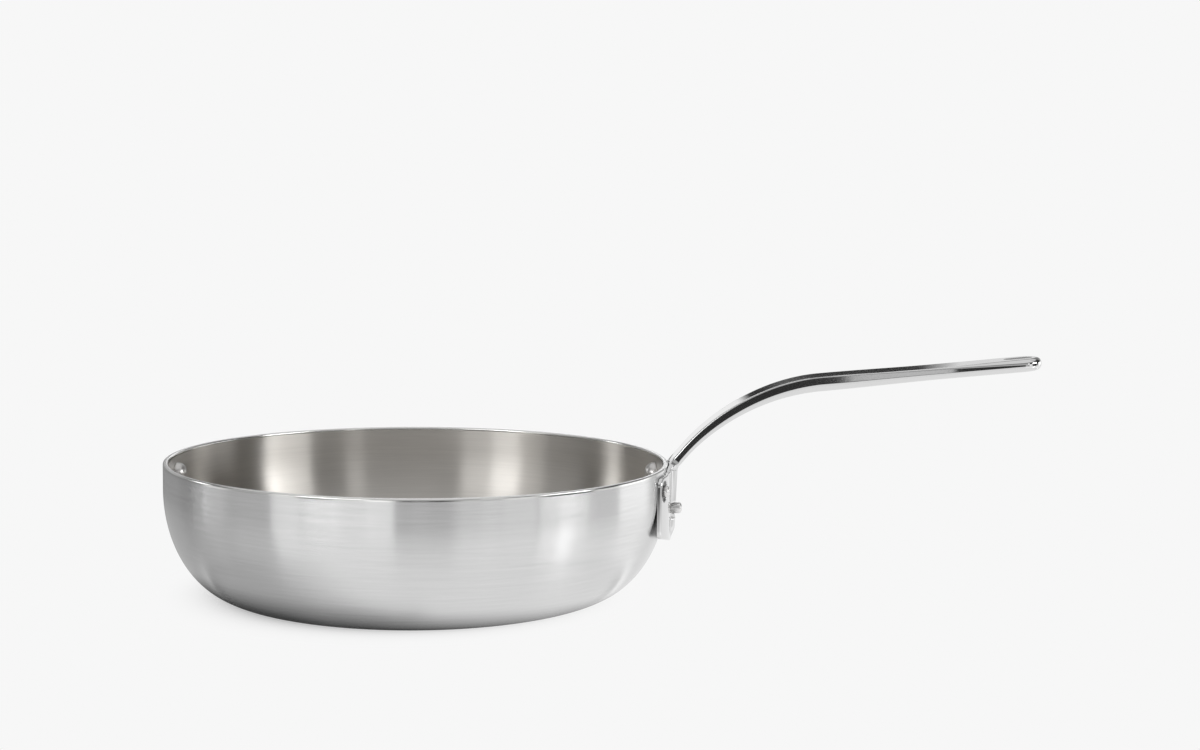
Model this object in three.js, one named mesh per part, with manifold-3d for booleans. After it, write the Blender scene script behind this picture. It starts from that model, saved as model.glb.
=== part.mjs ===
// Deep saute pan: a clad body of three bonded plies, a cast handle whose foot wraps the wall below
// the rim, and solid rivets with a wide domed head inside the pan and a smaller one outside.
// Millimetres, +Z up, base on z = 0, pan axis on Z, handle along +X.
import * as THREE from "three";
import { mergeVertices } from "three/addons/utils/BufferGeometryUtils.js";
import Module from "manifold-3d";

const wasm = await Module();
wasm.setup();

// Body
const PAN_DIAMETER = 280;
const PAN_HEIGHT = 74;
const BASE_DIAMETER = 199;
const STRAIGHT_WALL = 14.2;
const OUTER_PLY = 0.6;
const CORE_PLY = 1.5;
const INNER_PLY = 0.5;
const BOND_LINE = 0.05;

// Foot of the handle, against the wall
const FOOT_CLEARANCE = 0.3;
const FOOT_WIDTH = 82;
const FOOT_HEIGHT = 40;
const FOOT_BELOW_RIM = 3;
const FOOT_CORNER = 5;
const TOE_RISE = 7;
const TOE_RUN = 33;
const WING_THICKNESS = 2.2;
const RIB_WIDTH = 24;
const RIB_CREST_WIDTH = 12;
const RIB_THICKNESS_BOTTOM = 4.2;
const RIB_RUN_OUT = 8;

// Neck and grip of the handle: the neck is as thick as the top of the rib
const NECK_WIDTH = 19;
const NECK_THICKNESS = 5.4;
const NECK_FILLET = 6;
const NECK_PULL = 9;
const CROWN_PULL = 52.4;
const SHOULDER_RISE = 0.75;
const GRIP_START = 91.6;
const GRIP_RISE = 48.3;
const GRIP_SLOPE = 5.6;
const GRIP_WIDTH = 25;
const GRIP_THICKNESS = 8.1;
const HANDLE_REACH = 206;
const END_WIDTH = 24;
const END_THICKNESS = 6.5;
const TIP_TURN = 82;
const EDGE_RADIUS = 2.4;

// Hanging eye at the end of the grip
const EYE_LENGTH = 15;
const EYE_WIDTH = 8;
const EYE_MARGIN = 5;

// Rivets
const SHANK_DIAMETER = 5;
const INNER_HEAD_DIAMETER = 12.5;
const INNER_HEAD_HEIGHT = 6;
const OUTER_HEAD_DIAMETER = 7;
const OUTER_HEAD_HEIGHT = 3;
const RIVET_CLEARANCE = 0.3;
const UPPER_RIVET_DROP = 8;
const UPPER_RIVET_EDGE = 7.1;
const LOWER_RIVET_EDGE = 17.3;
const RECESS_DIAMETER = 12;
const RECESS_DEPTH = 0.8;
const SPOT_FACE_DEPTH = 0.5;

// Fineness of the round stretches
const BODY_SIDES = 60;
const SHOULDER_STEPS = 7;
const FLAT_STEPS = 12;
const EDGE_STEPS = 2;
const CORNER_STEPS = 3;
const FOOT_STEPS = 3;
const ARCH_STEPS = 12;
const GRIP_STEPS = 5;
const TIP_STEPS = 4;
const EYE_STEPS = 8;
const RIVET_SIDES = 16;
const DOME_STEPS = 4;
const MERGE_DISTANCE = 1e-4;

// Shares: the most of a half thickness that an edge's round may take, and a middle between two shapes
const EDGE_SHARE = 0.96;
const HALFWAY = 0.5;

// Sizes that follow from the ones above
const quarterTurn = Math.PI / 2;
const panRadius = PAN_DIAMETER / 2;
const baseRadius = BASE_DIAMETER / 2;
const shoulderDrop = PAN_HEIGHT - STRAIGHT_WALL;
const coreStart = OUTER_PLY + BOND_LINE;
const liningStart = coreStart + CORE_PLY + BOND_LINE;
const wallThickness = liningStart + INNER_PLY;
const facetInset = Math.cos(Math.PI / BODY_SIDES);
const footRadius = panRadius + FOOT_CLEARANCE;
const footTop = PAN_HEIGHT - FOOT_BELOW_RIM;
const footBottom = footTop - FOOT_HEIGHT;
const footReach = footRadius + NECK_THICKNESS + OUTER_HEAD_HEIGHT;
const halfFoot = FOOT_WIDTH / 2;
const upperRivetZ = footTop - UPPER_RIVET_DROP;
const lowerRivetZ = footBottom + LOWER_RIVET_EDGE;
const upperRivetAngle = Math.asin((halfFoot - UPPER_RIVET_EDGE) / panRadius);
const holeRadius = SHANK_DIAMETER / 2 + RIVET_CLEARANCE;
const spotRadius = OUTER_HEAD_DIAMETER / 2 + RIVET_CLEARANCE;
const slope = THREE.MathUtils.degToRad(GRIP_SLOPE);

// A closed geometry as a solid, with shared corners merged and empty triangles dropped.
function solid(geometry) {
  const bare = new THREE.BufferGeometry();
  bare.setAttribute("position", geometry.getAttribute("position"));
  bare.setIndex(geometry.index);
  const merged = mergeVertices(bare, MERGE_DISTANCE);
  const kept = [];
  for (let i = 0; i < merged.index.count; i += 3) {
    const corners = [0, 1, 2].map((k) => merged.index.getX(i + k));
    if (new Set(corners).size === 3) kept.push(...corners);
  }
  return new wasm.Manifold(
    new wasm.Mesh({
      numProp: 3,
      vertProperties: merged.attributes.position.array,
      triVerts: new Uint32Array(kept),
    }),
  );
}

function mesh(name, body, material) {
  const cut = body.getMesh();
  const geometry = new THREE.BufferGeometry();
  geometry.setAttribute("position", new THREE.BufferAttribute(cut.vertProperties, 3));
  geometry.setIndex(new THREE.BufferAttribute(cut.triVerts, 1));
  geometry.computeVertexNormals();
  const made = new THREE.Mesh(geometry, material);
  made.name = name;
  return made;
}

function metal(color, roughness) {
  return new THREE.MeshStandardMaterial({ color, roughness, metalness: 1 });
}

// A point of the body's shoulder, a quarter ellipse from the base to the wall, with its outward normal.
function shoulderPoint(turn) {
  const flare = panRadius - baseRadius;
  const point = new THREE.Vector2(
    baseRadius + flare * Math.sin(turn),
    shoulderDrop * (1 - Math.cos(turn)),
  );
  const normal = new THREE.Vector2(shoulderDrop * Math.sin(turn), -flare * Math.cos(turn));
  return { point, normal: normal.normalize() };
}

// The body's profile from the axis to the rim, at a depth inside the outer face.
function bodyProfile(depth) {
  const points = [new THREE.Vector2(0, depth)];
  for (let i = 0; i <= SHOULDER_STEPS; i++) {
    const { point, normal } = shoulderPoint((i / SHOULDER_STEPS) * quarterTurn);
    points.push(point.addScaledVector(normal, -depth));
  }
  points.push(new THREE.Vector2(panRadius - depth, PAN_HEIGHT));
  return points;
}

// The body's radius at a height, at a depth inside the outer face.
function wallRadius(z, depth) {
  const points = bodyProfile(depth);
  const above = points.findIndex((p) => p.y >= z && p.x > 0);
  const high = points[above];
  const low = points[above - 1];
  return THREE.MathUtils.mapLinear(z, low.y, high.y, low.x, high.x);
}

// One ply of the body, turned about Z.
function ply(depth, thickness) {
  const inside = bodyProfile(depth + thickness).reverse();
  const outline = [...bodyProfile(depth), ...inside];
  return solid(new THREE.LatheGeometry(outline, BODY_SIDES).rotateX(quarterTurn));
}

// A turned solid whose axis points outward from the pan at an azimuth and a height.
function outward(points, azimuth, z) {
  const geometry = new THREE.LatheGeometry(points, RIVET_SIDES);
  geometry.rotateZ(azimuth - quarterTurn).translate(0, 0, z);
  return solid(geometry);
}

// A plain round plug along a radius of the pan, from one distance to another.
function plug(radius, from, to, azimuth, z) {
  const outline = [
    [0, from],
    [radius, from],
    [radius, to],
    [0, to],
  ].map(([r, a]) => new THREE.Vector2(r, a));
  return outward(outline, azimuth, z);
}

// A rivet's domed head, from its crown to its edge, on a seat at a distance from the pan's axis.
function dome(diameter, height, seat) {
  const points = [];
  for (let i = 0; i <= DOME_STEPS; i++) {
    const turn = (i / DOME_STEPS) * quarterTurn;
    points.push(new THREE.Vector2((diameter / 2) * Math.sin(turn), seat + height * Math.cos(turn)));
  }
  return points;
}

// A rivet's outline: inner head, shank, outer head.
function rivetOutline(innerSeat, outerSeat) {
  return [
    ...dome(INNER_HEAD_DIAMETER, -INNER_HEAD_HEIGHT, innerSeat),
    new THREE.Vector2(SHANK_DIAMETER / 2, innerSeat),
    new THREE.Vector2(SHANK_DIAMETER / 2, outerSeat),
    ...dome(OUTER_HEAD_DIAMETER, OUTER_HEAD_HEIGHT, outerSeat).reverse(),
  ];
}

// Where a rivet's inner head lies: clear of the wall over its whole width.
function innerSeat(z) {
  const reach = INNER_HEAD_DIAMETER / 2;
  const nearest = wallRadius(z - reach, wallThickness) * facetInset;
  return Math.sqrt(nearest ** 2 - reach ** 2) - RIVET_CLEARANCE;
}

// A closed skin over rings of points that all have the same count.
function loft(rings) {
  const count = rings[0].length;
  const positions = rings.flat().flatMap((p) => [p.x, p.y, p.z]);
  const index = [];
  for (let i = 0; i + 1 < rings.length; i++) {
    for (let k = 0; k < count; k++) {
      const a = i * count + k;
      const b = i * count + ((k + 1) % count);
      index.push(a, b + count, b, a, a + count, b + count);
    }
  }
  const last = (rings.length - 1) * count;
  for (let k = 1; k + 1 < count; k++) {
    index.push(0, k, k + 1);
    index.push(last, last + k + 1, last + k);
  }
  const geometry = new THREE.BufferGeometry();
  geometry.setAttribute("position", new THREE.Float32BufferAttribute(positions, 3));
  geometry.setIndex(index);
  return solid(geometry);
}

// Half of a round-edged outline, from one side to the other: the distance from the middle, and the
// drop below the face where the edge rounds off.
function faceLine(half, radius) {
  const flat = half - radius;
  const line = [];
  for (let i = 1; i < FLAT_STEPS; i++) {
    line.push({ side: flat * (1 - (2 * i) / FLAT_STEPS), drop: 0 });
  }
  for (let i = EDGE_STEPS; i >= 0; i--) {
    const turn = (i / EDGE_STEPS) * quarterTurn;
    const edge = { side: flat + radius * Math.cos(turn), drop: radius * (1 - Math.sin(turn)) };
    line.unshift(edge);
    line.push({ side: -edge.side, drop: edge.drop });
  }
  return line;
}

// One cross-section of the handle. The station gives the middle of its back face, the way its front
// faces, its half width, its thickness over the wings and over the rib, and how far it wraps the wall.
function section(station) {
  const { back, facing, half, wing, rib, wrap } = station;
  const radius = Math.min(EDGE_RADIUS, (EDGE_SHARE * wing) / 2, EDGE_SHARE * half);
  const line = faceLine(half, radius);
  const place = (side, depth) => {
    const sag = wrap * (footRadius - Math.sqrt(footRadius ** 2 - side ** 2));
    const out = depth - sag;
    return new THREE.Vector3(back.x + facing.x * out, side, back.y + facing.y * out);
  };
  const front = line.map(({ side, drop }) => {
    const fall = THREE.MathUtils.smoothstep(Math.abs(side), RIB_CREST_WIDTH / 2, RIB_WIDTH / 2);
    return place(side, THREE.MathUtils.lerp(rib, wing, fall) - drop);
  });
  const rear = line.map(({ side, drop }) => place(side, drop)).reverse();
  return [...front, ...rear];
}

// How far a round corner draws a side in at a distance from the end it rounds off.
function cornerInset(fromEnd, radius) {
  const short = Math.max(0, radius - fromEnd);
  return radius - Math.sqrt(radius ** 2 - short ** 2);
}

// Half width of the foot at a height, with round corners at its top and a straight taper at its toe.
function footHalfWidth(z) {
  const toe = TOE_RUN * Math.max(0, 1 - (z - footBottom) / TOE_RISE);
  return halfFoot - toe - cornerInset(footTop - z, FOOT_CORNER);
}

function ribThickness(z) {
  const full = THREE.MathUtils.mapLinear(z, footBottom, footTop, RIB_THICKNESS_BOTTOM, NECK_THICKNESS);
  const grown = THREE.MathUtils.smoothstep(z, footBottom, footBottom + RIB_RUN_OUT);
  return THREE.MathUtils.lerp(WING_THICKNESS, full, grown);
}

function footStations() {
  const toe = [];
  const top = [];
  for (let i = 0; i <= CORNER_STEPS; i++) {
    const share = i / CORNER_STEPS;
    toe.push(TOE_RISE * share);
    top.unshift(FOOT_HEIGHT - FOOT_CORNER * (1 - Math.cos(share * quarterTurn)));
  }
  const middle = [];
  for (let i = 1; i < FOOT_STEPS; i++) {
    middle.push(THREE.MathUtils.lerp(TOE_RISE, FOOT_HEIGHT - FOOT_CORNER, i / FOOT_STEPS));
  }
  return [...toe, ...middle, ...top].map((up) => ({
    back: new THREE.Vector2(footRadius, footBottom + up),
    facing: new THREE.Vector2(1, 0),
    half: footHalfWidth(footBottom + up),
    wing: WING_THICKNESS,
    rib: ribThickness(footBottom + up),
    wrap: 1,
  }));
}

// The handle's middle line above the foot: one curve up and over, then the straight grip.
const neckRoot = new THREE.Vector2(footRadius + NECK_THICKNESS / 2, footTop);
const gripDirection = new THREE.Vector2(Math.cos(slope), Math.sin(slope));
const gripRoot = new THREE.Vector2(panRadius + GRIP_START, PAN_HEIGHT + GRIP_RISE);
const gripLength = (HANDLE_REACH - GRIP_START) / gripDirection.x;
const arch = new THREE.CubicBezierCurve(
  neckRoot,
  new THREE.Vector2(neckRoot.x, neckRoot.y + NECK_PULL),
  gripRoot.clone().addScaledVector(gripDirection, -CROWN_PULL),
  gripRoot,
);

// A plain cross-section centred on the middle line.
function barStation(middle, along, half, thickness) {
  const facing = new THREE.Vector2(along.y, -along.x);
  const back = middle.clone().addScaledVector(facing, -thickness / 2);
  return { back, facing, half, wing: thickness, rib: thickness, wrap: 0 };
}

// The step between the wide foot and the neck, a little above the foot.
function shoulderStation() {
  return {
    back: new THREE.Vector2(footRadius, footTop + SHOULDER_RISE),
    facing: new THREE.Vector2(1, 0),
    half: NECK_WIDTH / 2 + NECK_FILLET,
    wing: THREE.MathUtils.lerp(WING_THICKNESS, NECK_THICKNESS, HALFWAY),
    rib: NECK_THICKNESS,
    wrap: HALFWAY,
  };
}

function archStations() {
  const stations = [shoulderStation()];
  for (let i = 1; i <= ARCH_STEPS; i++) {
    const t = i / ARCH_STEPS;
    const grown = THREE.MathUtils.smoothstep(t, 0, 1);
    const rise = arch.getPoint(t).y - footTop;
    const fillet = cornerInset(rise, NECK_FILLET);
    const half = THREE.MathUtils.lerp(NECK_WIDTH, GRIP_WIDTH, grown) / 2 + fillet;
    const thickness = THREE.MathUtils.lerp(NECK_THICKNESS, GRIP_THICKNESS, grown);
    stations.push(barStation(arch.getPoint(t), arch.getTangent(t), half, thickness));
  }
  return stations;
}

function gripStations() {
  const stations = [];
  const endRadius = END_WIDTH / 2;
  const add = (distance, half, thickness) => {
    const middle = gripRoot.clone().addScaledVector(gripDirection, distance);
    stations.push(barStation(middle, gripDirection, half, thickness));
  };
  for (let i = 1; i <= GRIP_STEPS; i++) {
    const t = i / GRIP_STEPS;
    const half = THREE.MathUtils.lerp(GRIP_WIDTH, END_WIDTH, t) / 2;
    const thinned = THREE.MathUtils.smoothstep(t, 0, 1);
    add(t * (gripLength - endRadius), half, THREE.MathUtils.lerp(GRIP_THICKNESS, END_THICKNESS, thinned));
  }
  const wholeTurn = THREE.MathUtils.degToRad(TIP_TURN);
  for (let i = 1; i <= TIP_STEPS; i++) {
    const turn = (i / TIP_STEPS) * wholeTurn;
    const reach = gripLength - endRadius * (1 - Math.sin(turn) / Math.sin(wholeTurn));
    add(reach, endRadius * Math.cos(turn), END_THICKNESS);
  }
  return stations;
}

// The long hole that the pan hangs by, square to the grip.
function hangingEye() {
  const radius = EYE_WIDTH / 2;
  const straight = EYE_LENGTH / 2 - radius;
  const outline = new THREE.Shape();
  outline.absarc(straight, 0, radius, -quarterTurn, quarterTurn);
  outline.absarc(-straight, 0, radius, quarterTurn, 3 * quarterTurn);
  const depth = GRIP_THICKNESS + END_THICKNESS;
  const options = { depth, bevelEnabled: false, curveSegments: EYE_STEPS };
  const middle = gripRoot.clone().addScaledVector(gripDirection, gripLength - EYE_MARGIN - EYE_LENGTH / 2);
  const geometry = new THREE.ExtrudeGeometry(outline, options);
  geometry.translate(0, 0, -depth / 2).rotateY(-slope).translate(middle.x, 0, middle.y);
  return solid(geometry);
}

// Each rivet: its name, azimuth, height, and the face that its outer head sits on. The upper rivets
// sit in round recesses of the wings, and the lower one on a spot face of the rib.
const wingFace = footRadius + WING_THICKNESS * Math.cos(upperRivetAngle) - RECESS_DEPTH;
const ribFace = footRadius + ribThickness(lowerRivetZ) - SPOT_FACE_DEPTH;
const upperSeat = { z: upperRivetZ, face: wingFace, faceRadius: RECESS_DIAMETER / 2 };
const footRivets = [
  { name: "upper_rivet_near", azimuth: -upperRivetAngle, ...upperSeat },
  { name: "upper_rivet_far", azimuth: upperRivetAngle, ...upperSeat },
  { name: "lower_rivet", azimuth: 0, z: lowerRivetZ, face: ribFace, faceRadius: spotRadius },
];
const rearRivet = { name: "rear_rivet", azimuth: Math.PI, z: upperRivetZ, face: panRadius };
const rivets = [...footRivets, rearRivet];

function rivet({ azimuth, z, face }) {
  return outward(rivetOutline(innerSeat(z), face + RIVET_CLEARANCE), azimuth, z);
}

function bodyPly(depth, thickness) {
  let made = ply(depth, thickness);
  for (const { azimuth, z } of rivets) {
    made = made.subtract(plug(holeRadius, baseRadius, footRadius, azimuth, z));
  }
  return made;
}

function handle() {
  let made = loft([...footStations(), ...archStations(), ...gripStations()].map(section));
  made = made.subtract(hangingEye());
  for (const { azimuth, z, face, faceRadius } of footRivets) {
    made = made.subtract(plug(holeRadius, baseRadius, footReach, azimuth, z));
    made = made.subtract(plug(faceRadius, face, footReach, azimuth, z));
  }
  return made;
}

const brushedSteel = metal(0xb9b8b6, 0.34);
const liningSteel = metal(0xa9a6a1, 0.38);
const coreAluminium = metal(0xc4c6c8, 0.5);
const polishedSteel = metal(0xd4d4d3, 0.1);
const rivetSteel = metal(0xc8c7c4, 0.22);

const pan = new THREE.Group();
pan.add(mesh("outer_skin", bodyPly(0, OUTER_PLY), brushedSteel));
pan.add(mesh("aluminium_core", bodyPly(coreStart, CORE_PLY), coreAluminium));
pan.add(mesh("inner_skin", bodyPly(liningStart, INNER_PLY), liningSteel));
pan.add(mesh("handle", handle(), polishedSteel));
for (const place of rivets) {
  pan.add(mesh(place.name, rivet(place), rivetSteel));
}

export default pan;
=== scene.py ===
"""A deep saute pan: clad body brushed round its axis, polished cast handle, satin rivet heads."""

import math

import bpy
import numpy as np
from mathutils import Matrix, Vector


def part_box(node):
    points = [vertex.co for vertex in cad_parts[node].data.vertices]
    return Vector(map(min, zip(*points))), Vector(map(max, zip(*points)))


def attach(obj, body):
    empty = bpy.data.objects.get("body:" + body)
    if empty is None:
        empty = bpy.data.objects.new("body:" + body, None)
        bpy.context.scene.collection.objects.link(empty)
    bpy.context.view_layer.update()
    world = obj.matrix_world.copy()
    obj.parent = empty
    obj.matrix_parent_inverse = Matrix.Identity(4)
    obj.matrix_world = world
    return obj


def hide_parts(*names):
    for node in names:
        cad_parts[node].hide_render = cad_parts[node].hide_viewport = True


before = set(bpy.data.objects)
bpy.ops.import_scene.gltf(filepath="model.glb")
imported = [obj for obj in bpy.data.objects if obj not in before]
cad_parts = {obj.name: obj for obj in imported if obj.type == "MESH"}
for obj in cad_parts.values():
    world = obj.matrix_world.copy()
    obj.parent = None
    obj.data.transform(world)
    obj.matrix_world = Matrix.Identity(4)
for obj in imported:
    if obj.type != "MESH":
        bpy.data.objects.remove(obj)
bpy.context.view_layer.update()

# Lengths are in millimetres, and pieces are scaled to metres when they are made
MM = 0.001
QUARTER = math.pi / 2

# Body
body_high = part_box("outer_skin")[1]
PAN_RADIUS = body_high.x / MM
PAN_HEIGHT = body_high.z / MM
BASE_RADIUS = 99.5
STRAIGHT_WALL = 14.2
OUTER_PLY = 0.6
CORE_PLY = 1.5
INNER_PLY = 0.5
BOND_LINE = 0.05
LIP_RADIUS = 1.0
LIP_POLISH = 1.5

# Foot of the handle
FOOT_GAP = 0.1
FOOT_WIDTH = 82.0
FOOT_HEIGHT = 40.0
FOOT_BELOW_RIM = 3.0
FOOT_CORNER = 5.0
LEDGE_FALL = 0.4
TOE_RISE = 7.0
TOE_RUN = 33.0
TOE_CORNER = 4.0
WING_THICKNESS = 2.2
WING_EDGE = 0.95
WING_BACK_EDGE = 0.1
RIB_WIDTH = 24.0
RIB_CREST_WIDTH = 12.0
RIB_THICKNESS_BOTTOM = 4.2
RIB_RUN_OUT = 8.0

# Neck and grip of the handle
NECK_WIDTH = 21.0
NECK_THICKNESS = 5.4
NECK_FILLET = 6.0
NECK_PULL = 5.4
NECK_THINNING = 0.6
CROWN_PULL = 51.2
GRIP_START = 83.7
GRIP_RISE = 46.5
GRIP_SLOPE = math.radians(6.2)
GRIP_WIDTH = 25.0
GRIP_THICKNESS = 8.1
HANDLE_REACH = 206.0
WAIST_SHARE = 0.6
WAIST_THICKNESS = 6.4
END_WIDTH = 24.0
END_THICKNESS = 6.9
TIP_TURN = math.radians(87)
TOP_EDGES = (0.8, 0.6, 0.25, 0.8, 2.9)
UNDER_EDGES = (1.6, 2.5, 3.9, 3.2, 3.2)
UNDER_CROWN = 0.3
EYE_LENGTH = 15.0
EYE_WIDTH = 8.0
EYE_MARGIN = 5.0
EYE_MOUTH = 0.5

# Rivets
SHANK_RADIUS = 2.5
HOLE_RADIUS = 2.8
INNER_HEAD_RADIUS = 6.1
INNER_HEAD_HEIGHT = 5.8
OUTER_HEAD_RADIUS = 3.1
OUTER_HEAD_HEIGHT = 3.3
OUTER_HEAD_CROWN = 0.12
HEAD_EDGE = 1.7
HEAD_CHAMFER = 0.15
UPPER_RIVET_DROP = 8.0
UPPER_RIVET_EDGE = 7.1
LOWER_RIVET_EDGE = 17.3
RECESS_RADIUS = 6.0
RECESS_DEPTH = 0.8
RECESS_WALL = 1.3
SLOT_HALF = 4.6
SLOT_WALL = 1.0
DOME_CLEARANCE = 0.3
DOME_RIM = 0.15
HEAD_CLEARANCE = 0.1

# Fineness of the meshes
BODY_SIDES = 240
BASE_STEPS = 8
SHOULDER_STEPS = 56
WALL_STEPS = 18
LIP_STEPS = 7
RIVET_SIDES = 64
DOME_STEPS = 14
HEAD_STEPS = 8
CORNER_STEPS = 16
ARCH_FINE = 400
ARCH_ROWS = 84
GRIP_ROWS = 60
FOOT_ROWS = 60
ROUND_ROWS = 20
LEDGE_ROWS = 5
TIP_ROWS = 32
EDGE_COLUMNS = 9
MIDDLE_COLUMNS = 44
SIDE_BANDS = (0.08, 0.92)
EYE_SIDES = 48
EYE_STEPS = 8
CRISP_CUT = math.radians(38)
CRISP_HEAD = math.radians(50)
NECK_CROWDING = 1.6
SMALLEST_RUN = 1e-12

# Camera: where it stands and looks, in the frame of the view, whose Y axis runs from the viewer to the pan
VIEW_TURN = math.radians(7)
VIEW_DISTANCE = 1000.0
VIEW_HEIGHT = PAN_HEIGHT + 144.05
VIEW_YAW = 0.10136
VIEW_PITCH = math.radians(5.496)
VIEW_ROLL = math.radians(0.867)
FRAME_WIDTH = 1200
FOCAL_PIXELS = 1784.7
SENSOR_WIDTH = 36.0
NEAR_CLIP = 0.01

# Sizes that follow
SHOULDER_DROP = PAN_HEIGHT - STRAIGHT_WALL
WALL = OUTER_PLY + CORE_PLY + INNER_PLY + 2 * BOND_LINE
FOOT_RADIUS = PAN_RADIUS + FOOT_GAP
FOOT_TOP = PAN_HEIGHT - FOOT_BELOW_RIM
FOOT_BOTTOM = FOOT_TOP - FOOT_HEIGHT
LEDGE = FOOT_HEIGHT - LEDGE_FALL
NECK_END = FOOT_HEIGHT + NECK_FILLET
END_RADIUS = END_WIDTH / 2
UPPER_RIVET_Z = FOOT_TOP - UPPER_RIVET_DROP
LOWER_RIVET_Z = FOOT_BOTTOM + LOWER_RIVET_EDGE
UPPER_RIVET_ANGLE = math.asin((FOOT_WIDTH / 2 - UPPER_RIVET_EDGE) / PAN_RADIUS)


def smoothstep(value, low, high):
    share = np.clip((value - low) / (high - low), 0.0, 1.0)
    return share * share * (3 - 2 * share)


def mix(a, b, share):
    return a + (b - a) * share


def spread(low, high, steps):
    """Lengths from low up to high, evenly spaced, without the last."""
    return [mix(low, high, i / steps) for i in range(steps)]


def eased(low, high, steps):
    """Lengths from low up to high that crowd together at both ends, without the last."""
    return [mix(low, high, (1 - math.cos(math.pi * i / steps)) / 2) for i in range(steps)]


# Meshes


def new_piece(name, points, faces):
    """A smooth mesh object from points in millimetres."""
    mesh = bpy.data.meshes.new(name)
    mesh.from_pydata([tuple(float(c) * MM for c in p) for p in points], [], faces)
    mesh.validate()
    mesh.update()
    mesh.shade_smooth()
    piece = bpy.data.objects.new(name, mesh)
    bpy.context.scene.collection.objects.link(piece)
    return piece


def turned(name, profile, sides):
    """A closed solid turned about Z. Its profile of (radius, height) starts and ends on the axis."""
    ring = profile[1:-1]
    points = [(0.0, 0.0, profile[0][1]), (0.0, 0.0, profile[-1][1])]
    for radius, height in ring:
        for k in range(sides):
            turn = 2 * math.pi * k / sides
            points.append((radius * math.cos(turn), radius * math.sin(turn), height))
    faces = []
    last = 2 + (len(ring) - 1) * sides
    for k in range(sides):
        n = (k + 1) % sides
        faces.append((0, 2 + n, 2 + k))
        for i in range(len(ring) - 1):
            a = 2 + i * sides
            faces.append((a + k, a + n, a + sides + n, a + sides + k))
        faces.append((1, last + k, last + n))
    return new_piece(name, points, faces)


def cut(piece, cutters):
    """Takes the cutters' solids out of the piece and keeps the cut edges crisp."""
    for cutter in cutters:
        hole = piece.modifiers.new("hole", "BOOLEAN")
        hole.operation = "DIFFERENCE"
        hole.solver = "EXACT"
        hole.object = cutter
    bpy.context.view_layer.update()
    graph = bpy.context.evaluated_depsgraph_get()
    made = bpy.data.meshes.new_from_object(piece.evaluated_get(graph))
    piece.modifiers.clear()
    whole = piece.data
    piece.data = made
    bpy.data.meshes.remove(whole)
    made.name = piece.name
    for cutter in cutters:
        bpy.data.objects.remove(cutter)
    made.shade_smooth()
    made.set_sharp_from_angle(angle=CRISP_CUT)


def point_outward(piece, azimuth, height):
    """Turns a piece made about Z so that its axis runs outward from the pan's axis."""
    turn = Matrix.Rotation(azimuth, 4, "Z") @ Matrix.Rotation(QUARTER, 4, "Y")
    piece.data.transform(Matrix.Translation((0, 0, height * MM)) @ turn)
    piece.data.update()


def hole_cutter(radius, start, end, place):
    cutter = turned("hole_cutter", [(0, start), (radius, start), (radius, end), (0, end)], RIVET_SIDES)
    point_outward(cutter, place["azimuth"], place["z"])
    return cutter


# Rivet places: the node, the azimuth and height of the axis, the face that the outer head sits on, and how
# high that head is


def rib_thickness(along):
    full = mix(RIB_THICKNESS_BOTTOM, NECK_THICKNESS, along / FOOT_HEIGHT)
    return mix(WING_THICKNESS, full, smoothstep(along, 0.0, RIB_RUN_OUT))


def rivet_place(node, azimuth, z, face, head):
    return {"node": node, "azimuth": azimuth, "z": z, "face": face, "head": head}


WING_FACE = FOOT_RADIUS + WING_THICKNESS * math.cos(UPPER_RIVET_ANGLE) - RECESS_DEPTH
SLOT_FACE = FOOT_RADIUS + WING_THICKNESS
SLOT_HEAD = rib_thickness(LOWER_RIVET_EDGE) - WING_THICKNESS + OUTER_HEAD_HEIGHT
FOOT_RIVETS = [
    rivet_place("upper_rivet_near", -UPPER_RIVET_ANGLE, UPPER_RIVET_Z, WING_FACE, OUTER_HEAD_HEIGHT),
    rivet_place("upper_rivet_far", UPPER_RIVET_ANGLE, UPPER_RIVET_Z, WING_FACE, OUTER_HEAD_HEIGHT),
    rivet_place("lower_rivet", 0.0, LOWER_RIVET_Z, SLOT_FACE, SLOT_HEAD),
]
REAR_RIVET = rivet_place("rear_rivet", math.pi, UPPER_RIVET_Z, PAN_RADIUS, OUTER_HEAD_HEIGHT)
RIVETS = [*FOOT_RIVETS, REAR_RIVET]


# Body


def lip_drop(depth):
    """How far the rounded rim falls below its top at a depth inside the outer face."""
    edge = min(depth, WALL - depth)
    return LIP_RADIUS - math.sqrt(LIP_RADIUS**2 - max(0.0, LIP_RADIUS - edge) ** 2)


def wall_line(depth):
    """The body's line from the axis to the rim at a depth inside the outer face."""
    line = [(radius, depth) for radius in spread(0.0, BASE_RADIUS, BASE_STEPS)]
    flare = PAN_RADIUS - BASE_RADIUS
    for i in range(SHOULDER_STEPS + 1):
        turn = QUARTER * i / SHOULDER_STEPS
        normal = Vector((SHOULDER_DROP * math.sin(turn), -flare * math.cos(turn))).normalized()
        radius = BASE_RADIUS + flare * math.sin(turn) - depth * normal.x
        height = SHOULDER_DROP * (1 - math.cos(turn)) - depth * normal.y
        line.append((radius, height))
    top = PAN_HEIGHT - lip_drop(depth)
    for i in range(1, WALL_STEPS + 1):
        line.append((PAN_RADIUS - depth, mix(SHOULDER_DROP, top, i / WALL_STEPS)))
    return line


def wall_radius(height, depth):
    line = wall_line(depth)[BASE_STEPS:]
    return float(np.interp(height, [p[1] for p in line], [p[0] for p in line]))


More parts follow.
